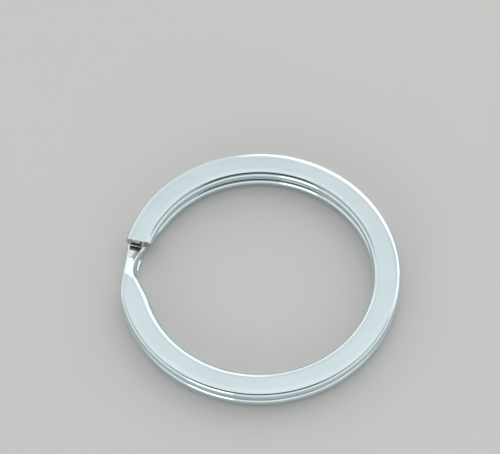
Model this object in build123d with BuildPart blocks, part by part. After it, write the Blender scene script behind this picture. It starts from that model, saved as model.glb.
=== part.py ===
from build123d import *
import os
from math import atan2, cos, degrees, pi, radians, sin

# Split jump ring: one strip of flattened wire, wound twice round and lying flat.
# Millimetres, +Z up. The origin is the centre of the ring, on the face that it lies on.
# Bearings are degrees about +Z, counter-clockwise from +X. From its upper end the strip
# runs clockwise: once round on top, down a narrowed crossover, and once round below.

# Ring
outer_diameter = 30.0
strip_width = 2.95
strip_thickness = 1.22
outer_edge_reach = 0.40
inner_edge_reach = 0.58
turn_gap = 0.03
lower_turn_inset = 0.06

# Neck, the narrowest place of the crossover. Its cuts fade out over so many degrees.
neck_bearing = 174.0
neck_width = 1.38
neck_inner_share = 0.67
inner_cut_before = 22.0
inner_cut_after = 29.0
outer_cut_reach = 19.0

# Ramp, from the upper turn down to the lower one, in degrees before and after the neck
inner_ramp_before = 9.6
inner_ramp_after = 9.1
outer_ramp_before = 4.2
outer_ramp_after = 9.1
ramp_bend = 2.0

# Cut ends. The upper one is a little askew, and drawn in at its outer side.
end_clearance = 2.0
end_edge_radius = 0.08
upper_end_skew = 3.5
upper_end_set_in = 0.18
upper_end_taper = 30.0

# Sections, in degrees apart, and the plain strip that the crossover's sections take in
crossover_spacing = 1.0
end_spacing = 4.5
plain_margin = 7.0
most_edge_share = 0.4

# Values that follow from the sizes above
outer_radius = outer_diameter / 2
half_thickness = strip_thickness / 2
upper_turn_height = strip_thickness + turn_gap
upper_middle = upper_turn_height + half_thickness
upper_turn_radius = outer_radius - strip_width / 2
lower_turn_radius = upper_turn_radius - lower_turn_inset
neck_inner_cut = neck_inner_share * (strip_width - neck_width)
neck_outer_cut = strip_width - neck_width - neck_inner_cut
crossover_start = neck_bearing + max(inner_cut_before, outer_cut_reach) + plain_margin
crossover_finish = neck_bearing - max(inner_cut_after, outer_cut_reach) - plain_margin
upper_end_bearing = neck_bearing - max(inner_ramp_after, outer_ramp_after) - end_clearance
lower_end_bearing = neck_bearing + inner_cut_before + end_clearance


def ease(share):
    """Rise smoothly from 0 to 1 as share goes from 0 to 1."""
    share = max(0.0, min(1.0, share))
    return share * share * (3 - 2 * share)


def bend(angle):
    """Nothing before 0 and the angle itself after it, with a rounded corner between."""
    if abs(angle) >= ramp_bend / 2:
        return max(0.0, angle)
    return (angle + ramp_bend / 2) ** 2 / (2 * ramp_bend)


def drop(bearing, before, after):
    """Share of the step down that an edge has made at a bearing."""
    gone = neck_bearing + before - bearing
    return (bend(gone) - bend(gone - before - after)) / (before + after)


def cut(bearing, depth, before, after):
    """How far an edge is set in at a bearing, as a smooth dip about the neck."""
    offset = bearing - neck_bearing
    reach = before if offset > 0 else after
    share = min(1.0, abs(offset) / reach)
    return depth * cos(share * pi / 2) ** 2


def section_plane(bearing, radius, height, roll=0.0, skew=0.0):
    """Upright plane across the strip: x points outwards, y upwards, z along the strip."""
    facing = radians(bearing + skew)
    centre = Vector(radius * cos(radians(bearing)), radius * sin(radians(bearing)), height)
    outward = Vector(cos(facing), sin(facing), 0)
    upward = Vector(0, 0, 1)
    across = outward * cos(radians(roll)) + upward * sin(radians(roll))
    return Plane(origin=centre, x_dir=across, z_dir=outward.cross(upward))


def strip_profile(width):
    """Profile of the strip, centred: flat above and below, with rounded edges."""
    outer_reach = min(outer_edge_reach, most_edge_share * width)
    inner_reach = min(inner_edge_reach, most_edge_share * width)
    outer_flat = width / 2 - outer_reach
    inner_flat = inner_reach - width / 2
    with BuildSketch() as profile:
        with BuildLine():
            Line((inner_flat, half_thickness), (outer_flat, half_thickness))
            EllipticalCenterArc(
                (outer_flat, 0), outer_reach, half_thickness, start_angle=-90, arc_size=180)
            Line((outer_flat, -half_thickness), (inner_flat, -half_thickness))
            EllipticalCenterArc(
                (inner_flat, 0), inner_reach, half_thickness, start_angle=90, arc_size=180)
        make_face()
    return profile.sketch


def upper_end_section(share):
    """Plane and width in the upper end's taper, from its root at share 0 to its cut at 1."""
    bearing = upper_end_bearing - upper_end_taper * (1 - share)
    width = strip_width - upper_end_set_in * ease(share)
    radius = outer_radius - strip_width + width / 2
    skew = upper_end_skew * ease(share)
    plane = section_plane(bearing, radius, upper_middle, skew=skew)
    return plane, width / cos(radians(skew))


def crossover_section(bearing):
    """Plane and width of the strip at a bearing within the crossover."""
    inner_drop = drop(bearing, inner_ramp_before, inner_ramp_after)
    outer_drop = drop(bearing, outer_ramp_before, outer_ramp_after)
    inset = lower_turn_inset * ease((crossover_start - bearing) / (crossover_start - crossover_finish))
    outer_edge = outer_radius - inset
    inner_edge = outer_edge - strip_width
    outer_edge -= cut(bearing, neck_outer_cut, outer_cut_reach, outer_cut_reach)
    inner_edge += cut(bearing, neck_inner_cut, inner_cut_before, inner_cut_after)
    width = outer_edge - inner_edge
    height = upper_middle - upper_turn_height * (inner_drop + outer_drop) / 2
    roll = degrees(atan2(upper_turn_height * (inner_drop - outer_drop), width))
    return section_plane(bearing, (outer_edge + inner_edge) / 2, height, roll), width


upper_turn_arc = 360 - (crossover_start - upper_end_bearing) - upper_end_taper
lower_turn_arc = 360 - (lower_end_bearing - crossover_finish)
end_section_count = round(upper_end_taper / end_spacing)
crossover_section_count = round((crossover_start - crossover_finish) / crossover_spacing)
crossover_step = (crossover_start - crossover_finish) / crossover_section_count

end_root = section_plane(upper_end_bearing - upper_end_taper, upper_turn_radius, upper_middle)
lower_root = section_plane(crossover_finish, lower_turn_radius, half_thickness)

with BuildPart() as split_ring:
    # Upper turn, from the root of its end clockwise to the crossover
    with BuildSketch(end_root):
        add(strip_profile(strip_width))
    revolve(axis=-Axis.Z, revolution_arc=upper_turn_arc)

    # Upper end
    for index in range(end_section_count + 1):
        plane, width = upper_end_section(index / end_section_count)
        with BuildSketch(plane):
            add(strip_profile(width))
    loft()

    # Lower turn, from the crossover clockwise to its cut end
    with BuildSketch(lower_root):
        add(strip_profile(strip_width))
    revolve(axis=-Axis.Z, revolution_arc=lower_turn_arc)

    # Crossover, through sections spaced evenly along it
    for index in range(crossover_section_count + 1):
        plane, width = crossover_section(crossover_start - index * crossover_step)
        with BuildSketch(plane):
            add(strip_profile(width))
    loft()

    # Take the sharp edges off both cut ends
    cut_faces = split_ring.faces().filter_by(GeomType.PLANE).filter_by(Axis.Z, reverse=True)
    fillet(cut_faces.edges(), radius=end_edge_radius)

split_ring.part.label = "split_ring"
os.makedirs("parts", exist_ok=True)
export_step(split_ring.part, "parts/split_ring.step")
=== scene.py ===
"""Split jump ring of nickel-plated flattened wire, lying flat on a pale studio floor.

The ring is one strip, wound twice round. Lengths are in metres and angles in radians, +Z up, and
the origin is the centre of the ring on the face that it lies on. A place along the strip is given
by its offset: the angle travelled clockwise, seen from above, from the neck of the crossover. It
is negative on the upper turn and positive on the lower one.
"""

from math import atan, cos, pi, radians, sin

import bpy
from bpy.props import FloatProperty, FloatVectorProperty, PointerProperty
from mathutils import Matrix, Vector


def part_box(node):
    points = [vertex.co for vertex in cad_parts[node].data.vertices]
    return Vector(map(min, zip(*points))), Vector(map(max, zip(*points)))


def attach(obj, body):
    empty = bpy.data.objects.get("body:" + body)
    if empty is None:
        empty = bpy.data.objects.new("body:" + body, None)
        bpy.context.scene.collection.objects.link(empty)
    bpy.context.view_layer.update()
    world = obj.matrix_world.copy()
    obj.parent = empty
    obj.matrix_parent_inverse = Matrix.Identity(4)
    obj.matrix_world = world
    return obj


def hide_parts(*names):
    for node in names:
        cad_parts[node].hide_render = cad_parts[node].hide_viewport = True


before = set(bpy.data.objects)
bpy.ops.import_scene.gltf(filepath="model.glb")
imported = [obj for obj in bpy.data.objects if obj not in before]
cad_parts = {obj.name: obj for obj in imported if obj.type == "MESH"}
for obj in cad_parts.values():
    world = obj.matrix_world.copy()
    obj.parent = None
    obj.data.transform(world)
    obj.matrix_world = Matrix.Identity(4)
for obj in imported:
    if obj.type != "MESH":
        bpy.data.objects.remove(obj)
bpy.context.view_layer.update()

bl_info = {
    "name": "Split Jump Ring",
    "version": (1, 0, 0),
    "blender": (4, 5, 0),
    "location": "View3D > Sidebar > Split Ring",
    "description": "Makes a flat split ring of plated wire, and the studio that shows it",
    "category": "Add Mesh",
}

MM = 0.001
FULL_TURN = 2 * pi
QUARTER_TURN = pi / 2
BODY = "root"
CAD_NODE = "split_ring"
CUT_ATTRIBUTE = "cut_face"

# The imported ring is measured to 0.1 mm, because its round edge is made of short flats
ring_low, ring_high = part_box(CAD_NODE)
RING_DIAMETER = round(ring_high.y - ring_low.y, 4)


# Sizes and finishes that a user would change

class RingSizes(bpy.types.PropertyGroup):
    """Sizes of the strip and of its two turns."""

    outer_diameter: FloatProperty(
        name="Outer Diameter", description="Across the upper turn",
        default=RING_DIAMETER, min=0.005, unit="LENGTH")
    strip_width: FloatProperty(
        name="Strip Width", description="Flattened wire, across the ring's face",
        default=2.95 * MM, min=0.5 * MM, unit="LENGTH")
    strip_thickness: FloatProperty(
        name="Strip Thickness", description="Flattened wire, along the ring's axis",
        default=1.22 * MM, min=0.2 * MM, unit="LENGTH")
    outer_edge_reach: FloatProperty(
        name="Outer Edge Reach", description="How much of the strip's width its outer edge rounds off",
        default=0.40 * MM, min=0.05 * MM, unit="LENGTH")
    inner_edge_reach: FloatProperty(
        name="Inner Edge Reach", description="How much of the strip's width its inner edge rounds off",
        default=0.58 * MM, min=0.05 * MM, unit="LENGTH")
    crown_reach: FloatProperty(
        name="Crown Reach", description="How far from each edge the faces begin to slope down to it",
        default=0.90 * MM, min=0.05 * MM, unit="LENGTH")
    crown_depth: FloatProperty(
        name="Crown Depth", description="How far that slope has gone down at the edge itself",
        default=0.105 * MM, min=0.0, unit="LENGTH")
    most_edge_share: FloatProperty(
        name="Most Edge Share", description="Most of the strip's width that one rounded edge may take",
        default=0.4, min=0.1, max=0.5, subtype="FACTOR")
    turn_gap: FloatProperty(
        name="Turn Gap", description="Gap between the upper and lower turns",
        default=0.03 * MM, min=0.0, unit="LENGTH")
    lower_turn_inset: FloatProperty(
        name="Lower Turn Inset", description="How much smaller the lower turn's radius is",
        default=0.06 * MM, min=0.0, unit="LENGTH")

    neck_bearing: FloatProperty(
        name="Neck Bearing", description="Where the crossover is narrowest, about +Z from +X",
        default=radians(174), unit="ROTATION")
    neck_width: FloatProperty(
        name="Neck Width", description="Width of the crossover at its narrowest",
        default=1.38 * MM, min=0.2 * MM, unit="LENGTH")
    neck_inner_share: FloatProperty(
        name="Neck Inner Share", description="Share of the narrowing that comes off the inner edge",
        default=0.67, min=0.0, max=1.0, subtype="FACTOR")
    inner_cut_before: FloatProperty(
        name="Inner Cut Before", description="Reach of the inner narrowing before the neck",
        default=radians(22), unit="ROTATION")
    inner_cut_after: FloatProperty(
        name="Inner Cut After", description="Reach of the inner narrowing after the neck",
        default=radians(29), unit="ROTATION")
    outer_cut_reach: FloatProperty(
        name="Outer Cut Reach", description="Reach of the outer narrowing each side of the neck",
        default=radians(19), unit="ROTATION")
    plain_margin: FloatProperty(
        name="Plain Margin", description="Plain strip at each end of the crossover",
        default=radians(7), unit="ROTATION")

    ledge_depth: FloatProperty(
        name="Ledge Depth", description="How far the lower half of the neck's inner side stands out",
        default=0.30 * MM, min=0.0, unit="LENGTH")
    ledge_offset: FloatProperty(
        name="Ledge Offset", description="Middle of that ledge, after the neck",
        default=radians(1.7), unit="ROTATION")
    ledge_reach: FloatProperty(
        name="Ledge Reach", description="Reach of that ledge each side of its middle",
        default=radians(5.2), unit="ROTATION")

    inner_ramp_before: FloatProperty(
        name="Inner Ramp Before", description="How far before the neck the inner edge starts down",
        default=radians(9.6), unit="ROTATION")
    inner_ramp_after: FloatProperty(
        name="Inner Ramp After", description="How far after the neck the inner edge is down",
        default=radians(9.1), unit="ROTATION")
    outer_ramp_before: FloatProperty(
        name="Outer Ramp Before", description="How far before the neck the outer edge starts down",
        default=radians(4.2), unit="ROTATION")
    outer_ramp_after: FloatProperty(
        name="Outer Ramp After", description="How far after the neck the outer edge is down",
        default=radians(9.1), unit="ROTATION")
    ramp_bend: FloatProperty(
        name="Ramp Bend", description="Length of the bends at the top and foot of the ramp",
        default=radians(2), unit="ROTATION")

    end_clearance: FloatProperty(
        name="End Clearance", description="Between each cut end and the crossover that it faces",
        default=radians(2), unit="ROTATION")
    end_edge_radius: FloatProperty(
        name="End Edge Radius", description="Rounding round the edge of each cut face",
        default=0.08 * MM, min=0.0, unit="LENGTH")
    end_corner_radius: FloatProperty(
        name="End Corner Radius", description="Rounding of each cut end's corners, seen from above",
        default=0.35 * MM, min=0.0, unit="LENGTH")
    upper_end_skew: FloatProperty(
        name="Upper End Skew", description="How far the upper end's cut is turned from square",
        default=radians(3.5), unit="ROTATION")
    upper_end_set_in: FloatProperty(
        name="Upper End Set In", description="How far the upper end's outer edge is drawn in",
        default=0.18 * MM, unit="LENGTH")
    upper_end_taper: FloatProperty(
        name="Upper End Taper", description="Length over which the upper end's outer edge is drawn in",
        default=radians(30), unit="ROTATION")


class NickelFinish(bpy.types.PropertyGroup):
    """Look of the polished nickel plate."""

    colour: FloatVectorProperty(
        name="Colour", description="Colour of the polished plate",
        default=(0.705, 0.820, 0.850), min=0.0, max=1.0, subtype="COLOR")
    cut_colour: FloatVectorProperty(
        name="Cut Colour", description="Colour of the plate over the sheared ends",
        default=(0.52, 0.46, 0.43), min=0.0, max=1.0, subtype="COLOR")
    roughness: FloatProperty(
        name="Roughness", description="Roughness of the polished plate",
        default=0.07, min=0.0, max=1.0, subtype="FACTOR")
    cut_roughness: FloatProperty(
        name="Cut Roughness", description="Roughness of the sheared ends",
        default=0.16, min=0.0, max=1.0, subtype="FACTOR")
    ripple_size: FloatProperty(
        name="Ripple Size", description="Width of the faint ripples left by rolling the wire flat",
        default=1.6 * MM, min=0.1 * MM, unit="LENGTH")
    speck_spacing: FloatProperty(
        name="Speck Spacing", description="Usual distance between tiny pits and specks",
        default=0.9 * MM, min=0.1 * MM, unit="LENGTH")


class StudioSettings(bpy.types.PropertyGroup):
    """Floor, window lamp and camera."""

    floor_colour: FloatVectorProperty(
        name="Floor Colour", description="Colour of the pale floor",
        default=(0.725, 0.72, 0.705), min=0.0, max=1.0, subtype="COLOR")
    floor_radius: FloatProperty(
        name="Floor Radius", description="Radius of the round floor",
        default=2.0, min=0.1, unit="LENGTH")

    window_azimuth: FloatProperty(
        name="Window Azimuth", description="Direction of the window lamp, from +Y towards +X",
        default=radians(36), unit="ROTATION")
    window_elevation: FloatProperty(
        name="Window Elevation", description="Height of the window lamp, seen from the ring's centre",
        default=radians(28), unit="ROTATION")
    window_distance: FloatProperty(
        name="Window Distance", description="From the window lamp to the ring's centre",
        default=1.2, min=0.1, unit="LENGTH")
    window_width: FloatProperty(
        name="Window Width", description="Width of the window lamp",
        default=1.25, min=0.01, unit="LENGTH")
    window_height: FloatProperty(
        name="Window Height", description="Height of the window lamp's face",
        default=1.15, min=0.01, unit="LENGTH")
    window_brightness: FloatProperty(
        name="Window Brightness", description="Brightness of the window lamp's face, where 1 is white",
        default=1.2, min=0.0)

    camera_distance: FloatProperty(
        name="Camera Distance", description="From the camera to the ring's centre",
        default=0.450, min=0.05, unit="LENGTH")
    camera_elevation: FloatProperty(
        name="Camera Elevation", description="Height of the camera, seen from the ring's centre",
        default=radians(59.82), unit="ROTATION")
    focal_length: FloatProperty(
        name="Focal Length", description="Focal length in millimetres on a sensor 36 mm wide",
        default=305.26, min=10.0)


# Sums and shapes made in a node tree

class Field:
    """A number worked out by a node tree, which takes Python's own signs for its sums."""

    def __init__(self, tree, socket):
        self.tree = tree
        self.socket = socket

    def math(self, operation, *others):
        node = self.tree.nodes.new("ShaderNodeMath")
        node.operation = operation
        for index, value in enumerate((self, *others)):
            if isinstance(value, Field):
                self.tree.links.new(value.socket, node.inputs[index])
            else:
                node.inputs[index].default_value = value
        return Field(self.tree, node.outputs[0])

    def __add__(self, other):
        return self.math("ADD", other)

    def __radd__(self, other):
        return self.math("ADD", other)

    def __sub__(self, other):
        return self.math("SUBTRACT", other)

    def __rsub__(self, other):
        return (self * -1.0) + other

    def __mul__(self, other):
        return self.math("MULTIPLY", other)

    def __rmul__(self, other):
        return self.math("MULTIPLY", other)

    def __truediv__(self, other):
        return self.math("DIVIDE", other)

    def __neg__(self):
        return self * -1.0

    def least(self, other):
        return self.math("MINIMUM", other)

    def most(self, other):
        return self.math("MAXIMUM", other)

    def clamp(self, low=0.0, high=1.0):
        return self.most(low).least(high)

    def over(self, other):
        """1 where this is more than the other, and 0 elsewhere."""
        return self.math("GREATER_THAN", other)

    def at_least(self, count):
        """1 where this whole number is the count or more, and 0 elsewhere."""
        return self.over(count - 0.5)

    def absolute(self):
        return self.math("ABSOLUTE")

    def root(self):
        return self.math("SQRT")

    def whole(self):
        """The whole number that is nearest to this."""
        return self.math("ROUND")

    def sin(self):
        return self.math("SINE")

    def cos(self):
        return self.math("COSINE")

    def smooth(self, limits, levels=(0.0, 1.0)):
        """Go smoothly from the first level to the second as this goes between the limits."""
        node = add_node(
            self.tree, "ShaderNodeMapRange", {"Value": self.socket},
            {"From Min": limits[0], "From Max": limits[1], "To Min": levels[0], "To Max": levels[1]},
            interpolation_type="SMOOTHSTEP")
        return Field(self.tree, node.outputs["Result"])


def add_node(tree, kind, links=None, values=None, **settings):
    """Add a node, set its settings and socket values, and link sockets into it by name."""
    node = tree.nodes.new(kind)
    for key, value in settings.items():
        setattr(node, key, value)
    for key, value in (values or {}).items():
        node.inputs[key].default_value = value
    for key, socket in (links or {}).items():
        tree.links.new(socket, node.inputs[key])
    return node


def combine(tree, x, y, z):
    """Vector socket from three numbers."""
    node = tree.nodes.new("ShaderNodeCombineXYZ")
    for socket, value in zip(node.inputs, (x, y, z)):
        tree.links.new(value.socket, socket)
    return node.outputs[0]


def separate(tree, vector):
    """The three numbers of a vector socket."""
    node = tree.nodes.new("ShaderNodeSeparateXYZ")
    tree.links.new(vector, node.inputs[0])
    return [Field(tree, output) for output in node.outputs]


def ease(share):
    """Rise smoothly from 0 to 1 as share goes from 0 to 1."""
    share = share.clamp()
    return share * share * (3.0 - 2.0 * share)


def bend(angle, span):
    """Nothing before 0 and the angle itself after it, with a corner rounded over the span."""
    half = span / 2.0
    inside = angle.most(-half).least(half) + half
    return inside * inside / (2.0 * span) + (angle - half).most(0.0)


def drop(offset, before, after, span):
    """Share of the step down that an edge has made."""
    gone = offset + before
    return (bend(gone, span) - bend(gone - before - after, span)) / (before + after)


def cut(offset, depth, before, after):
    """How far an edge is set in, as a smooth dip about the neck."""
    reach = after + offset.math("LESS_THAN", 0.0) * (before - after)
    share = (offset.absolute() / reach).least(1.0)
    dip = (share * QUARTER_TURN).cos()
    return depth * dip * dip


# Rows of points along the strip. At each end, some turn over the cut face's edge, and a last few
# close the face.
UPPER_ROWS = 320
CROSSOVER_ROWS = 260
LOWER_ROWS = 302
END_ARC_ROWS = 6
CLOSING_ROWS = 2
END_ROWS = END_ARC_ROWS + CLOSING_ROWS
ROWS = END_ROWS + UPPER_ROWS + CROSSOVER_ROWS + LOWER_ROWS + END_ROWS

# Points round a section, first up the outer side and then down the inner one. Each side has a
# point on the flat, the points of its rounded edge, and more on the flat.
EDGE_POINTS = 26
EDGE_COLUMNS = EDGE_POINTS + 2
FLAT_COLUMNS = 11
SIDE_COLUMNS = EDGE_COLUMNS + 1 + FLAT_COLUMNS
COLUMNS = 2 * SIDE_COLUMNS

# Distance from a rounded edge to the next point on the flat, so that its shading stays off the flat
FLAT_SUPPORT = 0.03 * MM

# Length over which the rounding of an end's corners fades out along the strip
END_FADE = 1.2 * MM

# Top of the neck's ledge, and how gently it slopes away, as shares of half the strip's thickness
LEDGE_TOP = 0.15
LEDGE_SLOPE = 0.35

# Points closer than this are welded: those of the seam, and those that meet along the middle of a
# cut face
WELD_DISTANCE = 0.0005 * MM


def add_size_inputs(tree, group_input, sizes):
    """Give a tree one named input for each size, and return the inputs as fields by their key."""
    for key in sizes.__annotations__:
        prop = sizes.bl_rna.properties[key]
        socket = tree.interface.new_socket(
            name=prop.name, description=prop.description, in_out="INPUT",
            socket_type="NodeSocketFloat")
        socket.default_value = getattr(sizes, key)
    keys = enumerate(sizes.__annotations__)
    return {key: Field(tree, group_input.outputs[index]) for index, key in keys}


def strip_grid(tree):
    """Grid with a row of points for each section: its mesh, and each point's row and column."""
    grid = tree.nodes.new("GeometryNodeMeshGrid")
    grid.inputs["Vertices X"].default_value = ROWS + 1
    grid.inputs["Vertices Y"].default_value = COLUMNS + 1
    grid.inputs["Size X"].default_value = 1.0
    grid.inputs["Size Y"].default_value = 1.0
    position = tree.nodes.new("GeometryNodeInputPosition")
    x, y, _ = separate(tree, position.outputs[0])
    row = ((x + 0.5) * float(ROWS)).whole()
    column = ((y + 0.5) * float(COLUMNS)).whole()
    return grid.outputs["Mesh"], row, column


def row_offsets(size, row):
    """Offset of each row, and those of the crossover's start and finish and of both cut ends."""
    start = -(size["inner_cut_before"].most(size["outer_cut_reach"]) + size["plain_margin"])
    finish = size["inner_cut_after"].most(size["outer_cut_reach"]) + size["plain_margin"]
    landing = size["inner_ramp_after"].most(size["outer_ramp_after"])
    upper_end = landing + size["end_clearance"] - FULL_TURN
    lower_end = FULL_TURN - size["inner_cut_before"] - size["end_clearance"]
    along = row - END_ROWS
    upper_share = (along / UPPER_ROWS).clamp()
    crossover_share = ((along - UPPER_ROWS) / CROSSOVER_ROWS).clamp()
    lower_share = ((along - UPPER_ROWS - CROSSOVER_ROWS) / LOWER_ROWS).clamp()
    offset = (
        upper_end
        + upper_share * (start - upper_end)
        + crossover_share * (finish - start)
        + lower_share * (lower_end - finish))
    return offset, start, finish, upper_end, lower_end


def end_rounding(size, row, half_thickness):
    """How the last rows at each end turn over the edge of the cut face and close it.

    Gives the angle that a row has turned, how much its section shrinks all round, how far it is set
    back along the strip, and the way that its end faces: 1 for the upper end, -1 for the lower.
    """
    radius = size["end_edge_radius"]
    from_lower_end = float(ROWS) - row
    end_row = row.least(from_lower_end)
    facing = 1.0 - 2.0 * row.over(from_lower_end)
    turned = ((float(END_ROWS) - end_row) / END_ARC_ROWS).clamp() * QUARTER_TURN
    closing = (float(CLOSING_ROWS) - end_row).most(0.0)
    shrink = (
        radius * (1.0 - turned.cos())
        + closing.least(1.0) * FLAT_SUPPORT
        + (closing - 1.0).clamp() * (half_thickness - radius - FLAT_SUPPORT))
    in_end = 1.0 - end_row.at_least(END_ROWS + 1)
    set_back = radius * (1.0 - turned.sin()) * in_end
    return turned, shrink, set_back, facing


def close_and_paint(tree, geometry, material):
    """Close the strip's seam and both its ends, turn its faces outwards and give it its finish."""
    weld = tree.nodes.new("GeometryNodeMergeByDistance")
    weld.inputs["Distance"].default_value = WELD_DISTANCE
    outwards = tree.nodes.new("GeometryNodeFlipFaces")
    smooth = tree.nodes.new("GeometryNodeSetShadeSmooth")
    realize = tree.nodes.new("GeometryNodeRealizeInstances")
    paint = tree.nodes.new("GeometryNodeSetMaterial")
    for node in (weld, outwards, smooth, realize, paint):
        tree.links.new(geometry, node.inputs[0])
        geometry = node.outputs[0]
    tree.links.new(material, paint.inputs["Material"])
    output = tree.nodes.new("NodeGroupOutput")
    tree.links.new(geometry, output.inputs[0])


def strip_tree(sizes):
    """Node tree that makes the whole strip: a grid of points, rolled up and wound twice round."""
    tree = bpy.data.node_groups.new("Split Ring Strip", "GeometryNodeTree")
    tree.interface.new_socket(name="Geometry", in_out="OUTPUT", socket_type="NodeSocketGeometry")
    group_input = tree.nodes.new("NodeGroupInput")
    size = add_size_inputs(tree, group_input, sizes)
    tree.interface.new_socket(name="Material", in_out="INPUT", socket_type="NodeSocketMaterial")
    grid, row, column = strip_grid(tree)
    offset, start, finish, upper_end, lower_end = row_offsets(size, row)
    half_thickness = size["strip_thickness"] / 2.0
    turned, shrink, end_set_back, facing = end_rounding(size, row, half_thickness)

    # Inner and outer edges of each section
    outer_radius = size["outer_diameter"] / 2.0
    narrowing = size["strip_width"] - size["neck_width"]
    inner_cut_depth = narrowing * size["neck_inner_share"]
    outer_cut_depth = narrowing - inner_cut_depth
    inset = size["lower_turn_inset"] * ease((offset - start) / (finish - start))
    at_end = ease(1.0 - (offset - upper_end) / size["upper_end_taper"])
    plain_edge = outer_radius - inset
    inner_edge = plain_edge - size["strip_width"] + cut(
        offset, inner_cut_depth, size["inner_cut_before"], size["inner_cut_after"])
    outer_edge = plain_edge - size["upper_end_set_in"] * at_end - cut(
        offset, outer_cut_depth, size["outer_cut_reach"], size["outer_cut_reach"])
    skew = size["upper_end_skew"] * at_end
    width = (outer_edge - inner_edge) / skew.cos()

    # Outline of a section: flat above and below, with a rounded edge at each side
    side = (column / float(SIDE_COLUMNS)).math("FLOOR")
    inner_side = side.math("MODULO", 2.0)
    sign = 1.0 - 2.0 * inner_side
    step = column - side * float(SIDE_COLUMNS)
    arc = side * pi + ((step - 1.0) / EDGE_POINTS).clamp() * pi - QUARTER_TURN
    on_flat = 1.0 - step.at_least(1) + step.at_least(EDGE_COLUMNS)
    most_reach = width * size["most_edge_share"]
    outer_reach = size["outer_edge_reach"].least(most_reach)
    inner_reach = size["inner_edge_reach"].least(most_reach)
    reach = outer_reach + inner_side * (inner_reach - outer_reach)
    flat = width / 2.0 - reach
    over_flat = ease((step - float(EDGE_COLUMNS)) / (FLAT_COLUMNS + 1.0))
    flat_width = width - outer_reach - inner_reach - 2.0 * FLAT_SUPPORT
    remaining = 1.0 - shrink / half_thickness
    across = (
        sign * (flat - on_flat * FLAT_SUPPORT)
        + reach * remaining * arc.cos()
        - sign * flat_width * over_flat)

    # Ledge that the shears left on the neck's inner side, at full depth over half its length
    from_ledge = (offset - size["ledge_offset"]).absolute() / size["ledge_reach"]
    ledge = size["ledge_depth"] * ease(2.0 - 2.0 * from_ledge)
    below = ease((LEDGE_TOP - arc.sin()) / LEDGE_SLOPE) * (1.0 - over_flat)
    across = across - ledge * inner_side * below

    # The faces slope down a little towards both edges
    crown_start = (width / 2.0 - size["crown_reach"]).most(0.0)
    in_crown = ((across.absolute() - crown_start) / size["crown_reach"]).clamp()
    crown = size["crown_depth"] * in_crown * in_crown
    upward = (half_thickness - crown) * remaining * arc.sin()

    # Height of each point: the inner edge goes down the ramp first, and the outer one after it
    outer_share = (across / width + 0.5).clamp()
    before = size["inner_ramp_before"] + outer_share * (
        size["outer_ramp_before"] - size["inner_ramp_before"])
    after = size["inner_ramp_after"] + outer_share * (
        size["outer_ramp_after"] - size["inner_ramp_after"])
    pitch = size["strip_thickness"] + size["turn_gap"]
    upper_middle = pitch + half_thickness
    height = upper_middle - pitch * drop(offset, before, after, size["ramp_bend"]) + upward

    # Corners of the cut ends, rounded in plan
    corner = size["end_corner_radius"]
    past_corner = (across.absolute() - (width / 2.0 - corner)).clamp(0.0, corner)
    corner_set_back = corner - (corner * corner - past_corner * past_corner).most(0.0).root()
    from_end = (offset - upper_end).least(lower_end - offset) * outer_radius
    fade = 1.0 - (from_end / END_FADE).clamp()
    set_back = (end_set_back + corner_set_back * fade * fade) * facing

    # Mark on the cut faces, for their finish, made while the grid is still in its rows
    mark = tree.nodes.new("GeometryNodeStoreNamedAttribute")
    mark.data_type = "FLOAT"
    mark.domain = "POINT"
    mark.inputs["Name"].default_value = CUT_ATTRIBUTE
    tree.links.new(grid, mark.inputs["Geometry"])
    tree.links.new((turned / QUARTER_TURN).socket, mark.inputs["Value"])

    # Place of each point
    centre_radius = (outer_edge + inner_edge) / 2.0
    bearing = size["neck_bearing"] - offset
    outward = bearing + skew
    x = centre_radius * bearing.cos() + across * outward.cos() + set_back * outward.sin()
    y = centre_radius * bearing.sin() + across * outward.sin() - set_back * outward.cos()
    place = tree.nodes.new("GeometryNodeSetPosition")
    tree.links.new(mark.outputs[0], place.inputs["Geometry"])
    tree.links.new(combine(tree, x, y, height), place.inputs["Position"])
    close_and_paint(tree, place.outputs[0], group_input.outputs["Material"])
    return tree


def plain_mesh(tree, values, name):
    """Run a tree with the given inputs, and keep what it makes as a plain mesh object."""
    maker = bpy.data.objects.new(name + "_maker", bpy.data.meshes.new(name + "_maker"))
    bpy.context.scene.collection.objects.link(maker)
    modifier = maker.modifiers.new("Strip", "NODES")
    modifier.node_group = tree
    for item in tree.interface.items_tree:
        if item.in_out == "INPUT":
            modifier[item.identifier] = values[item.name]
    bpy.context.view_layer.update()
    depsgraph = bpy.context.evaluated_depsgraph_get()
    mesh = bpy.data.meshes.new_from_object(maker.evaluated_get(depsgraph), depsgraph=depsgraph)
    maker.modifiers.clear()
    bpy.data.objects.remove(maker)
    mesh.name = name
    piece = bpy.data.objects.new(name, mesh)
    bpy.context.scene.collection.objects.link(piece)
    return piece


# Finishes

# Places of a Mix node's colour sockets among its other sockets, which share their names
MIX_COLOURS_IN = (6, 7)
MIX_COLOUR_OUT = 2


def mix_colours(tree, share, first, second):
    """Colour socket between two colours or colour sockets."""
    node = tree.nodes.new("ShaderNodeMix")
    node.data_type = "RGBA"
    tree.links.new(share.socket, node.inputs["Factor"])
    for index, colour in zip(MIX_COLOURS_IN, (first, second)):
        if isinstance(colour, bpy.types.NodeSocket):
            tree.links.new(colour, node.inputs[index])
        else:
            node.inputs[index].default_value = (*colour, 1.0)
    return node.outputs[MIX_COLOUR_OUT]


def noise(tree, vector, size, detail=2.0):
    """Noise with features about as wide as the given size."""
    node = add_node(
        tree, "ShaderNodeTexNoise", {"Vector": vector}, {"Scale": 1.0 / size, "Detail": detail})
    return Field(tree, node.outputs["Fac"])


def shaded(colour, share):
    """A colour with each of its parts brought down to a share of itself."""
    return tuple(share * part for part in colour)


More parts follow.
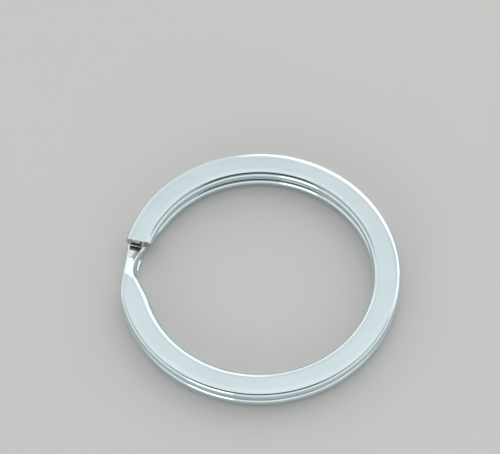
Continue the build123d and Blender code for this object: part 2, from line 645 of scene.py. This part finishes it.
def new_material(name):
    """Material with its node tree, its shader, and the place on the piece as a socket."""
    material = bpy.data.materials.new(name)
    material.use_nodes = True
    tree = material.node_tree
    tree.nodes.clear()
    output = tree.nodes.new("ShaderNodeOutputMaterial")
    shader = tree.nodes.new("ShaderNodeBsdfPrincipled")
    tree.links.new(shader.outputs[0], output.inputs["Surface"])
    place = tree.nodes.new("ShaderNodeTexCoord").outputs["Object"]
    return material, tree, shader, place


def nickel_material(finish):
    """Polished nickel plate: faint ripples, hairlines along the strip, specks and rough cut ends."""
    material, tree, shader, place = new_material("Polished Nickel Plate")

    # Broad, faint clouding of the colour
    cloud_size = 4.0 * finish.ripple_size
    cloud_limits = (0.35, 0.65)
    cloud_shade = 0.955
    clear = noise(tree, place, cloud_size, detail=4.0).smooth(cloud_limits)
    plate = mix_colours(tree, clear, shaded(finish.colour, cloud_shade), finish.colour)

    # Tiny pits and specks, in only some of the cells of a pattern
    speck_limits = (0.05, 0.11)
    share_without = 0.72
    speck_strength = 0.35
    speck_colour = (0.45, 0.46, 0.46)
    cells = add_node(
        tree, "ShaderNodeTexVoronoi", {"Vector": place}, {"Scale": 1.0 / finish.speck_spacing})
    cell_colour = tree.nodes.new("ShaderNodeSeparateColor")
    tree.links.new(cells.outputs["Color"], cell_colour.inputs[0])
    in_speck = Field(tree, cells.outputs["Distance"]).smooth(speck_limits, (1.0, 0.0))
    speck = in_speck * Field(tree, cell_colour.outputs["Red"]).over(share_without)
    pitted = mix_colours(tree, speck * speck_strength, plate, speck_colour)

    # Sheared ends, duller and darker
    cut_limits = (0.5, 0.95)
    cut_mark = add_node(tree, "ShaderNodeAttribute", attribute_name=CUT_ATTRIBUTE).outputs["Fac"]
    on_cut = Field(tree, cut_mark).smooth(cut_limits)
    colour = mix_colours(tree, on_cut, pitted, finish.cut_colour)
    tree.links.new(colour, shader.inputs["Base Color"])

    # Roughness, a little uneven
    grain_size = 0.2 * finish.ripple_size
    grain_limits = (0.3, 0.7)
    smoothest = 0.8 * finish.roughness
    roughest = 1.3 * finish.roughness
    speck_roughness = 0.2
    grain = noise(tree, place, grain_size, detail=3.0).smooth(grain_limits, (smoothest, roughest))
    rougher_cut = on_cut * (finish.cut_roughness - finish.roughness)
    roughness = grain + speck * speck_roughness + rougher_cut
    tree.links.new(roughness.socket, shader.inputs["Roughness"])

    # Hairlines that follow the strip round, and the ripples under them. The hairlines' noise is read
    # off a circle smaller than the ring, which draws it out along the strip.
    hairline_size = 0.05 * finish.ripple_size
    hairline_circle = 2.0 * finish.ripple_size
    hairline_depth = 0.03
    speck_depth = 0.6
    relief_height = 0.0015 * MM
    east, north, _ = separate(tree, place)
    radius = (east * east + north * north).root()
    along_strip = combine(
        tree, east / radius * hairline_circle, north / radius * hairline_circle, radius)
    hairlines = noise(tree, along_strip, hairline_size)
    ripples = noise(tree, place, finish.ripple_size, detail=1.0)
    relief = ripples + hairlines * hairline_depth - speck * speck_depth
    bump = add_node(
        tree, "ShaderNodeBump", {"Height": relief.socket},
        {"Strength": 1.0, "Distance": relief_height})
    tree.links.new(bump.outputs[0], shader.inputs["Normal"])
    shader.inputs["Metallic"].default_value = 1.0
    return material


def floor_material(studio):
    """Matt pale floor with the faintest clouding."""
    material, tree, shader, place = new_material("Pale Floor")
    cloud_size = 0.05
    cloud_limits = (0.3, 0.7)
    cloud_shade = 0.985
    clear = noise(tree, place, cloud_size, detail=3.0).smooth(cloud_limits)
    darker = shaded(studio.floor_colour, cloud_shade)
    colour = mix_colours(tree, clear, darker, studio.floor_colour)
    tree.links.new(colour, shader.inputs["Base Color"])
    shader.inputs["Roughness"].default_value = 0.9
    shader.inputs["Specular IOR Level"].default_value = 0.2
    return material


# Studio

# Boxes of light round the ring, and gaps in them. Angles are in degrees: azimuths from +Y towards
# +X, and elevations up from the floor. Each line gives a name, the azimuths that it lies between
# and how soft those limits are, the same for its elevations, and its level. The level of a box is
# its brightness, and that of a gap is the share of the light that it takes away.
ALL_ROUND = (-200, 200)
ALL_HEIGHTS = (-100, 100)
BOXES = (
    ("wall", ALL_ROUND, 1, (-90, 29), 2, 1.0),
    ("low back", (-48, 10), 4, (9, 33), 3, 1.2),
    ("tall back", (-62, 61), 4, (25, 57), 2, 0.86),
    ("strip light", (2.5, 8), 1.5, (9, 54), 1, 1.2),
    ("top light", (2.5, 27), 1.5, (49.5, 54), 1, 1.2),
    ("ceiling", ALL_ROUND, 1, (68, 95), 4, 0.92),
    ("low front", (-164, -133), 4, (3, 28), 2, 2.4),
    ("sides", (-128, 128), 5, ALL_HEIGHTS, 1, 0.5),
)
GAPS = (
    ("left front gap", (-200, -128), 5, (47, 67), 2, 0.9),
    ("right front gap", (128, 200), 5, (47, 67), 2, 0.9),
    ("window edge", (16, 60), 4, (54, 58), 1, 0.12),
    ("behind window", (7, 64), 2, (3, 48), 2, 0.95),
)

# The high back grows brighter between two elevations. Away from the boxes there is a base level.
HIGH_BACK = ("high back", (-90, 90), 10, (55, 95), 2, 1.0)
HIGH_BACK_FADE = (52, 69)
HIGH_BACK_LEVELS = (0.80, 1.0)
BASE_LEVEL = 0.3

FLOOR_SIDES = 96
FLOOR_CLEARANCE = 0.02 * MM


def direction(azimuth, elevation):
    """Unit vector, with azimuth measured from +Y towards +X."""
    return Vector((
        sin(azimuth) * cos(elevation), cos(azimuth) * cos(elevation), sin(elevation)))


def add_window(studio):
    """Window lamp: a soft box that faces the ring, equally bright all over."""
    lamp = bpy.data.lights.new("window", "AREA")
    lamp.shape = "RECTANGLE"
    lamp.size = studio.window_width
    lamp.size_y = studio.window_height
    lamp.energy = studio.window_brightness * pi * studio.window_width * studio.window_height
    window = bpy.data.objects.new("window", lamp)
    outwards = direction(studio.window_azimuth, studio.window_elevation)
    turn = (-outwards).to_track_quat("-Z", "Y").to_matrix().to_4x4()
    window.matrix_world = Matrix.Translation(outwards * studio.window_distance) @ turn
    bpy.context.scene.collection.objects.link(window)


def band(angle, limits, soft):
    """1 between two limits and 0 beyond them. The limits and their softness are in degrees."""
    low, high = limits
    rise = angle.smooth((radians(low - soft), radians(low + soft)))
    fall = angle.smooth((radians(high - soft), radians(high + soft)), (1.0, 0.0))
    return rise * fall


def world_patch(azimuth, elevation, patch):
    """Level of a box or a gap: its own level inside it, and 0 outside."""
    name, azimuths, azimuth_soft, elevations, elevation_soft, level = patch
    inside = band(azimuth, azimuths, azimuth_soft) * band(elevation, elevations, elevation_soft)
    result = inside * level
    result.socket.node.label = name
    return result


def studio_world():
    """Soft light from all round: pale boxes over a dim base, with darker gaps cut into them."""
    world = bpy.data.worlds.new("Studio")
    world.use_nodes = True
    tree = world.node_tree
    tree.nodes.clear()
    view = tree.nodes.new("ShaderNodeTexCoord").outputs["Generated"]
    east, north, up = separate(tree, view)
    elevation = up.math("ARCSINE")
    azimuth = east.math("ARCTAN2", north)

    fade_limits = tuple(radians(limit) for limit in HIGH_BACK_FADE)
    high_level = elevation.smooth(fade_limits, HIGH_BACK_LEVELS)
    level = (world_patch(azimuth, elevation, HIGH_BACK) * high_level).most(BASE_LEVEL)
    for box in BOXES:
        level = level.most(world_patch(azimuth, elevation, box))
    for gap in GAPS:
        level = level * (1.0 - world_patch(azimuth, elevation, gap))

    background = add_node(tree, "ShaderNodeBackground", {"Strength": level.socket})
    background.inputs["Color"].default_value = (1.0, 1.0, 1.0, 1.0)
    output = tree.nodes.new("ShaderNodeOutputWorld")
    tree.links.new(background.outputs[0], output.inputs["Surface"])
    return world


def turned_pair(first, second, angle):
    """Two directions at right angles, both turned by an angle from the first towards the second."""
    return (
        first * cos(angle) + second * sin(angle),
        second * cos(angle) - first * sin(angle))


def add_camera(studio):
    """Camera at the photograph's angle, with the ring placed in the frame as it is there."""
    # The photograph's size, and where the ring's centre lies from its top left corner, in pixels
    image_width = 500
    image_height = 454
    centre_x = 259.1
    centre_y = 283.55

    # The sensor in millimetres, and how far the camera leans to one side
    sensor_width = 36.0
    tilt = -0.00709

    pixels = studio.focal_length / sensor_width * image_width
    swing = atan((centre_x - image_width / 2) / pixels)
    nod = atan((centre_y - image_height / 2) / pixels)

    outwards = direction(pi, studio.camera_elevation)
    forward = -outwards
    right = Vector((1.0, 0.0, 0.0))
    up = right.cross(forward)
    forward, up = turned_pair(forward, up, nod)
    forward, right = turned_pair(forward, right, -swing)
    right, up = turned_pair(right, up, tilt)

    data = bpy.data.cameras.new("Camera")
    data.sensor_width = sensor_width
    data.lens = studio.focal_length
    data.clip_start = 0.01
    data.clip_end = 20.0
    camera = bpy.data.objects.new("Camera", data)
    turn = Matrix((right, up, -forward)).transposed().to_4x4()
    camera.matrix_world = Matrix.Translation(outwards * studio.camera_distance) @ turn
    bpy.context.scene.collection.objects.link(camera)
    bpy.context.scene.camera = camera


# Operators

class MESH_OT_split_ring_strip(bpy.types.Operator):
    """Make the strip of plated wire, wound twice round, with its crossover and its cut ends"""

    bl_idname = "mesh.split_ring_strip"
    bl_label = "Make the Split Ring"

    def execute(self, context):
        sizes = context.scene.split_ring_sizes
        tree = strip_tree(sizes)
        values = {
            sizes.bl_rna.properties[key].name: getattr(sizes, key) for key in sizes.__annotations__}
        values["Material"] = nickel_material(context.scene.split_ring_nickel)
        ring = plain_mesh(tree, values, "ring_strip")
        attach(ring, BODY)
        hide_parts(CAD_NODE)
        return {"FINISHED"}


class SCENE_OT_split_ring_stage(bpy.types.Operator):
    """Make the pale floor, the window lamp, the soft light all round and the camera"""

    bl_idname = "scene.split_ring_stage"
    bl_label = "Make the Studio"

    def execute(self, context):
        studio = context.scene.split_ring_studio
        bpy.ops.mesh.primitive_circle_add(
            vertices=FLOOR_SIDES, radius=studio.floor_radius, fill_type="NGON",
            location=(0.0, 0.0, -FLOOR_CLEARANCE))
        floor = context.object
        floor.name = "floor"
        floor.data.materials.append(floor_material(studio))

        add_window(studio)
        context.scene.world = studio_world()
        add_camera(studio)
        context.scene.view_settings.view_transform = "Standard"
        return {"FINISHED"}


# Sidebar and registration

class VIEW3D_PT_split_ring(bpy.types.Panel):
    """Sizes, finish and studio of the split ring"""

    bl_idname = "VIEW3D_PT_split_ring"
    bl_label = "Split Ring"
    bl_space_type = "VIEW_3D"
    bl_region_type = "UI"
    bl_category = "Split Ring"

    def draw(self, context):
        layout = self.layout
        layout.operator(MESH_OT_split_ring_strip.bl_idname)
        layout.operator(SCENE_OT_split_ring_stage.bl_idname)
        for group in (
                context.scene.split_ring_sizes, context.scene.split_ring_nickel,
                context.scene.split_ring_studio):
            column = layout.column(align=True)
            for key in group.__annotations__:
                column.prop(group, key)


CLASSES = (
    RingSizes,
    NickelFinish,
    StudioSettings,
    MESH_OT_split_ring_strip,
    SCENE_OT_split_ring_stage,
    VIEW3D_PT_split_ring,
)


def register():
    for cls in CLASSES:
        bpy.utils.register_class(cls)
    bpy.types.Scene.split_ring_sizes = PointerProperty(type=RingSizes)
    bpy.types.Scene.split_ring_nickel = PointerProperty(type=NickelFinish)
    bpy.types.Scene.split_ring_studio = PointerProperty(type=StudioSettings)


def unregister():
    del bpy.types.Scene.split_ring_studio
    del bpy.types.Scene.split_ring_nickel
    del bpy.types.Scene.split_ring_sizes
    for cls in reversed(CLASSES):
        bpy.utils.unregister_class(cls)


def main():
    register()
    bpy.ops.mesh.split_ring_strip()
    bpy.ops.scene.split_ring_stage()


if __name__ == "__main__":
    main()
